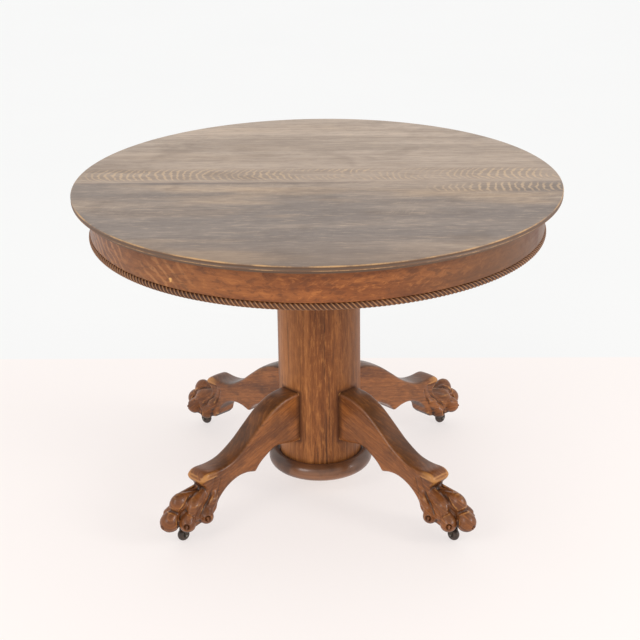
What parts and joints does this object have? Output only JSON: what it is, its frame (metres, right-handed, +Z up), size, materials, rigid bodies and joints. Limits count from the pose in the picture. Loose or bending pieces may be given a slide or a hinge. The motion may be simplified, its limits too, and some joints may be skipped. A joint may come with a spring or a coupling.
{
  "type": "round pedestal table",
  "caption": "Round extending oak dining table: two half tops on wooden slides over a round hollow column with four scrolled lion-paw legs on casters.",
  "frame": {"origin": "on the floor under the middle of the column", "axes": "+Z up; the seam between the two half tops runs along X; the front half pulls out towards -Y and the rear half towards +Y"},
  "size_m": [1.143, 1.143, 0.7745],
  "materials": {
    "top_oak": "worn satin varnish over grey-brown quarter-sawn oak",
    "apron_oak": "satin varnish over reddish-brown quarter-sawn oak with flake figure",
    "rope_oak": "satin varnish over dark oak with rubbed ridges",
    "column_oak": "satin varnish over reddish-brown oak veneer, grain upright",
    "ring_oak": "satin varnish over dark oak",
    "leg_oak": "satin varnish over reddish-brown oak, dark in the carving and rubbed on edges",
    "plain_wood": "bare planed secondary wood, dusty",
    "slide_wood": "bare planed maple, waxed",
    "screw_steel": "dull steel",
    "old_brass": "tarnished brass",
    "caster_iron": "black-brown japanned iron",
    "wheel_wood": "nearly black hardwood, polished by use"
  },
  "bodies": {
    "pedestal": {"column": "column_oak", "column_top_plate": "plain_wood", "column_foot_plate": "plain_wood", "base_ring": "ring_oak", "bearer_front": "plain_wood", "bearer_rear": "plain_wood", "slide_fixed_left": "slide_wood", "bearer_screw_front_left": "screw_steel", "bearer_screw_rear_left": "screw_steel", "slide_fixed_right": "slide_wood", "bearer_screw_front_right": "screw_steel", "bearer_screw_rear_right": "screw_steel", "leg_front_left": "leg_oak", "leg_bolt_front_left_lower": "screw_steel", "leg_bolt_front_left_upper": "screw_steel", "caster_socket_front_left": "old_brass", "leg_front_right": "leg_oak", "leg_bolt_front_right_lower": "screw_steel", "leg_bolt_front_right_upper": "screw_steel", "caster_socket_front_right": "old_brass", "leg_rear_left": "leg_oak", "leg_bolt_rear_left_lower": "screw_steel", "leg_bolt_rear_left_upper": "screw_steel", "caster_socket_rear_left": "old_brass", "leg_rear_right": "leg_oak", "leg_bolt_rear_right_lower": "screw_steel", "leg_bolt_rear_right_upper": "screw_steel", "caster_socket_rear_right": "old_brass"},
    "front_half": {"top_front": "top_oak", "apron_front": "apron_oak", "rope_moulding_front": "rope_oak", "glue_block_front": "plain_wood", "slide_front_left": "slide_wood", "rail_screw_front_left": "screw_steel", "slide_front_right": "slide_wood", "rail_screw_front_right": "screw_steel", "leaf_pin_outer_left": "slide_wood", "leaf_pin_inner_left": "slide_wood", "leaf_pin_inner_right": "slide_wood", "leaf_pin_outer_right": "slide_wood"},
    "rear_half": {"top_rear": "top_oak", "apron_rear": "apron_oak", "rope_moulding_rear": "rope_oak", "glue_block_rear": "plain_wood", "slide_rear_left": "slide_wood", "rail_screw_rear_left": "screw_steel", "slide_rear_right": "slide_wood", "rail_screw_rear_right": "screw_steel"},
    "caster_front_left": {"caster_horn_front_left": "caster_iron", "caster_axle_front_left": "screw_steel"},
    "wheel_front_left": {"caster_wheel_front_left": "wheel_wood"},
    "caster_front_right": {"caster_horn_front_right": "caster_iron", "caster_axle_front_right": "screw_steel"},
    "wheel_front_right": {"caster_wheel_front_right": "wheel_wood"},
    "caster_rear_left": {"caster_horn_rear_left": "caster_iron", "caster_axle_rear_left": "screw_steel"},
    "wheel_rear_left": {"caster_wheel_rear_left": "wheel_wood"},
    "caster_rear_right": {"caster_horn_rear_right": "caster_iron", "caster_axle_rear_right": "screw_steel"},
    "wheel_rear_right": {"caster_wheel_rear_right": "wheel_wood"}
  },
  "joints": [
    {"name": "front_half_slide", "type": "slide", "parent": "pedestal", "child": "front_half", "axis": [0, -1, 0], "range_m": [0, 0.457]},
    {"name": "rear_half_slide", "type": "slide", "parent": "pedestal", "child": "rear_half", "axis": [0, 1, 0], "range_m": [0, 0.457]},
    {"name": "swivel_front_left", "type": "hinge", "parent": "pedestal", "child": "caster_front_left", "pos_m": [-0.30795, -0.30795, 0.037], "axis": [0, 0, 1], "continuous": true},
    {"name": "wheel_spin_front_left", "type": "hinge", "parent": "caster_front_left", "child": "wheel_front_left", "pos_m": [-0.31502, -0.31502, 0.0155], "axis": [0.7071, -0.7071, 0], "continuous": true},
    {"name": "swivel_front_right", "type": "hinge", "parent": "pedestal", "child": "caster_front_right", "pos_m": [0.30795, -0.30795, 0.037], "axis": [0, 0, 1], "continuous": true},
    {"name": "wheel_spin_front_right", "type": "hinge", "parent": "caster_front_right", "child": "wheel_front_right", "pos_m": [0.31502, -0.31502, 0.0155], "axis": [0.7071, 0.7071, 0], "continuous": true},
    {"name": "swivel_rear_left", "type": "hinge", "parent": "pedestal", "child": "caster_rear_left", "pos_m": [-0.30795, 0.30795, 0.037], "axis": [0, 0, 1], "continuous": true},
    {"name": "wheel_spin_rear_left", "type": "hinge", "parent": "caster_rear_left", "child": "wheel_rear_left", "pos_m": [-0.31502, 0.31502, 0.0155], "axis": [-0.7071, -0.7071, 0], "continuous": true},
    {"name": "swivel_rear_right", "type": "hinge", "parent": "pedestal", "child": "caster_rear_right", "pos_m": [0.30795, 0.30795, 0.037], "axis": [0, 0, 1], "continuous": true},
    {"name": "wheel_spin_rear_right", "type": "hinge", "parent": "caster_rear_right", "child": "wheel_rear_right", "pos_m": [0.31502, 0.31502, 0.0155], "axis": [-0.7071, 0.7071, 0], "continuous": true}
  ]
}
